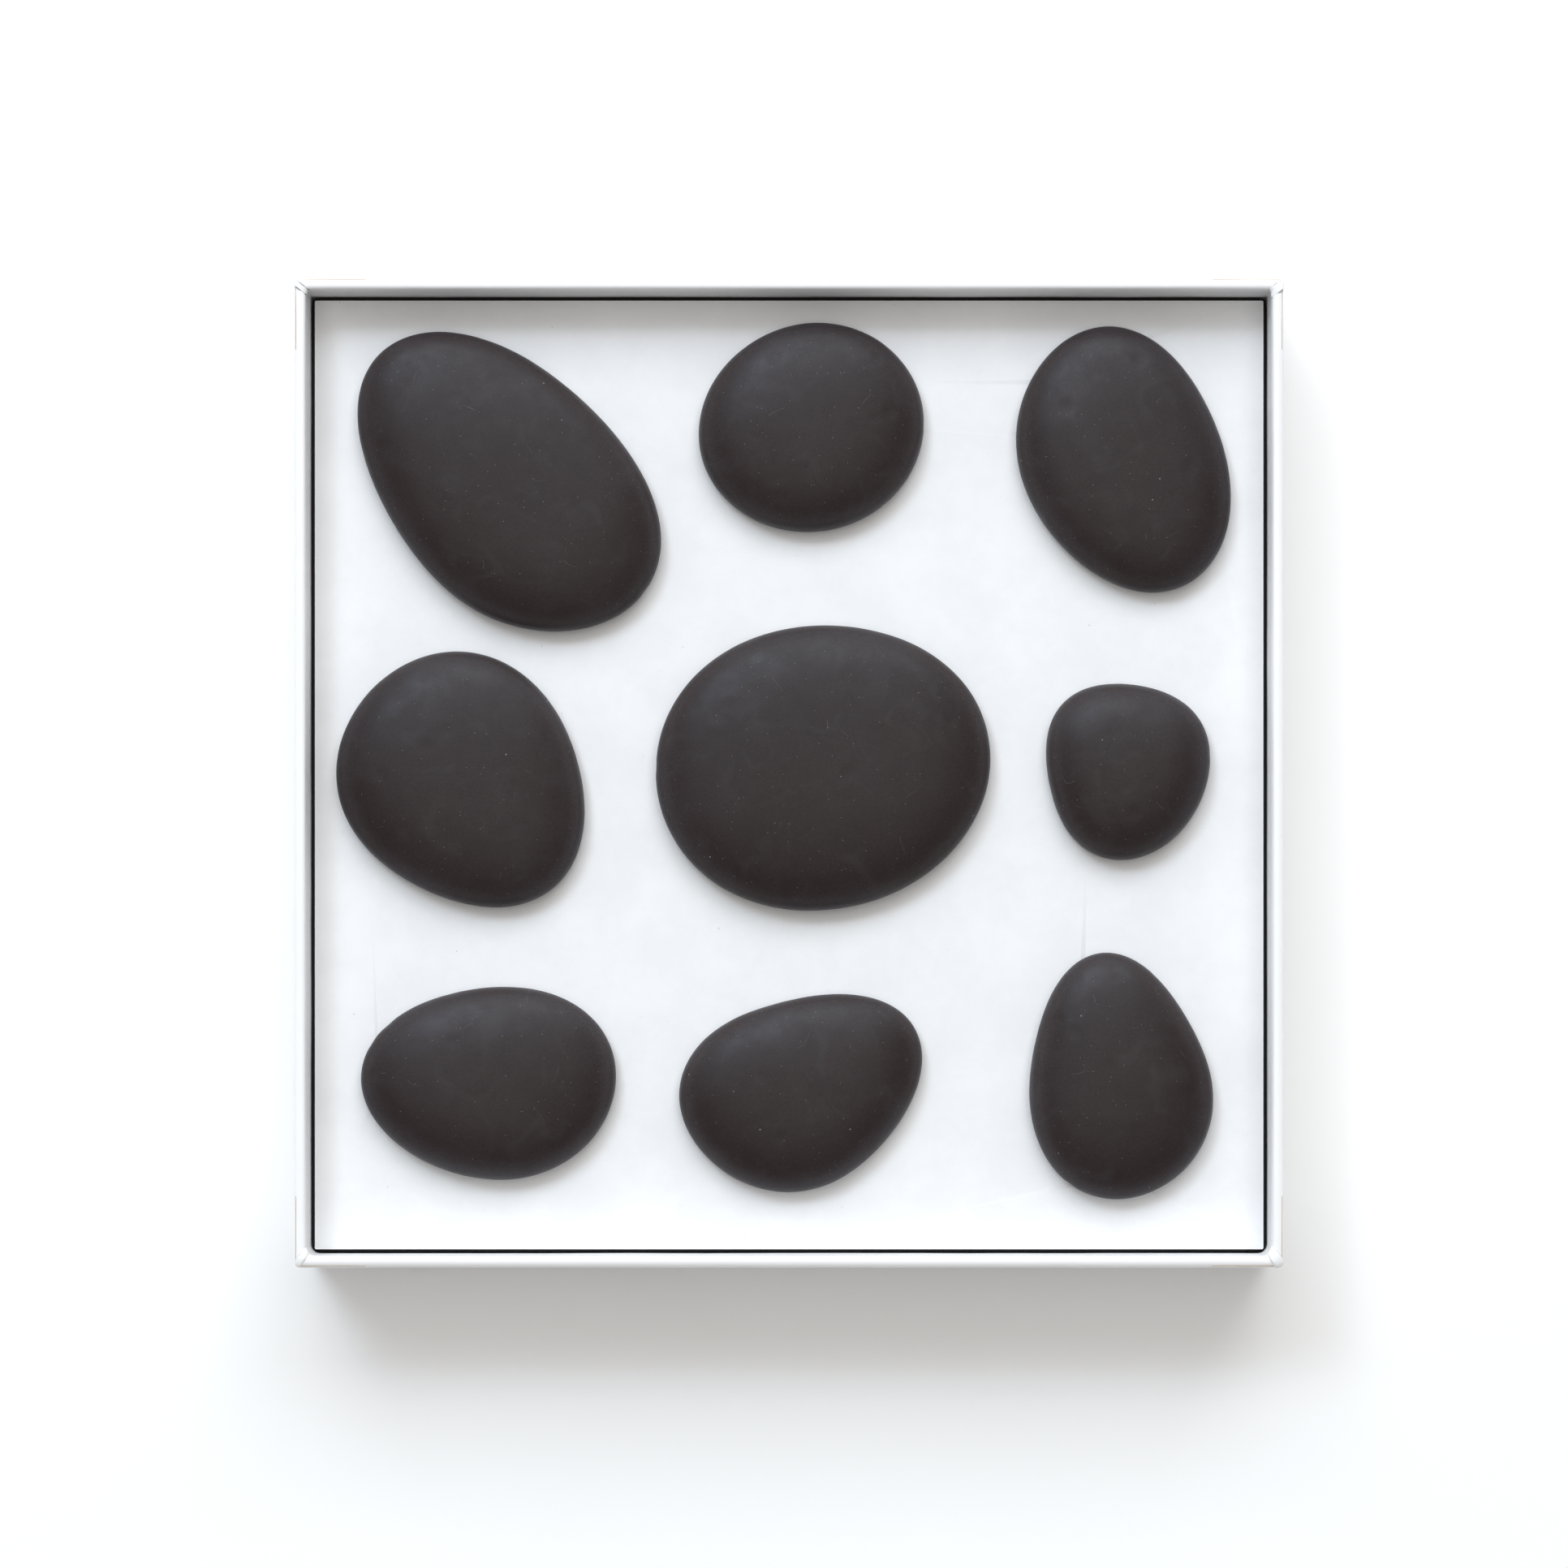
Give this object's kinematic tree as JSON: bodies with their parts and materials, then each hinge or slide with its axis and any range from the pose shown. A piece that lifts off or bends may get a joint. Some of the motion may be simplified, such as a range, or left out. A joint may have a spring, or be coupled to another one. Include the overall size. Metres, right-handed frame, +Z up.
{
  "type": "massage stone set",
  "caption": "Square paper-covered tray with a foam and card insert that holds smooth flat massage pebbles in die-cut seats; the insert and each pebble lift out.",
  "frame": {"origin": "centre of the box's underside, on the surface it stands on", "axes": "+X to the right and +Y from the front row of stones to the back row, as seen from above; +Z up, out of the open box"},
  "size_m": [0.25, 0.25, 0.045],
  "materials": {
    "white_paper": "satin",
    "greyboard": "matte",
    "kraft_tape": "matte",
    "black_foam": "matte",
    "white_card": "satin",
    "basalt": "satin"
  },
  "bodies": {
    "box": {"base_paper": "white_paper", "base_board": "greyboard", "wall_board_front": "greyboard", "wall_board_back": "greyboard", "wall_board_left": "greyboard", "wall_board_right": "greyboard", "corner_stay_front_left": "kraft_tape", "corner_stay_front_right": "kraft_tape", "corner_stay_back_left": "kraft_tape", "corner_stay_back_right": "kraft_tape", "wall_wrap": "white_paper"},
    "insert": {"foam_base_layer": "black_foam", "foam_seat_layer": "black_foam", "facing_card": "white_card"},
    "back_left": {"stone_back_left": "basalt"},
    "back_middle": {"stone_back_middle": "basalt"},
    "back_right": {"stone_back_right": "basalt"},
    "middle_left": {"stone_middle_left": "basalt"},
    "centre": {"stone_centre": "basalt"},
    "middle_right": {"stone_middle_right": "basalt"},
    "front_left": {"stone_front_left": "basalt"},
    "front_middle": {"stone_front_middle": "basalt"},
    "front_right": {"stone_front_right": "basalt"}
  },
  "joints": [
    {"name": "insert_lift", "type": "slide", "parent": "box", "child": "insert", "axis": [0, 0, 1], "range_m": [0, 0.06]},
    {"name": "back_left_lift", "type": "slide", "parent": "insert", "child": "back_left", "axis": [0, 0, 1], "range_m": [0, 0.04]},
    {"name": "back_middle_lift", "type": "slide", "parent": "insert", "child": "back_middle", "axis": [0, 0, 1], "range_m": [0, 0.04]},
    {"name": "back_right_lift", "type": "slide", "parent": "insert", "child": "back_right", "axis": [0, 0, 1], "range_m": [0, 0.04]},
    {"name": "middle_left_lift", "type": "slide", "parent": "insert", "child": "middle_left", "axis": [0, 0, 1], "range_m": [0, 0.04]},
    {"name": "centre_lift", "type": "slide", "parent": "insert", "child": "centre", "axis": [0, 0, 1], "range_m": [0, 0.04]},
    {"name": "middle_right_lift", "type": "slide", "parent": "insert", "child": "middle_right", "axis": [0, 0, 1], "range_m": [0, 0.04]},
    {"name": "front_left_lift", "type": "slide", "parent": "insert", "child": "front_left", "axis": [0, 0, 1], "range_m": [0, 0.04]},
    {"name": "front_middle_lift", "type": "slide", "parent": "insert", "child": "front_middle", "axis": [0, 0, 1], "range_m": [0, 0.04]},
    {"name": "front_right_lift", "type": "slide", "parent": "insert", "child": "front_right", "axis": [0, 0, 1], "range_m": [0, 0.04]}
  ]
}
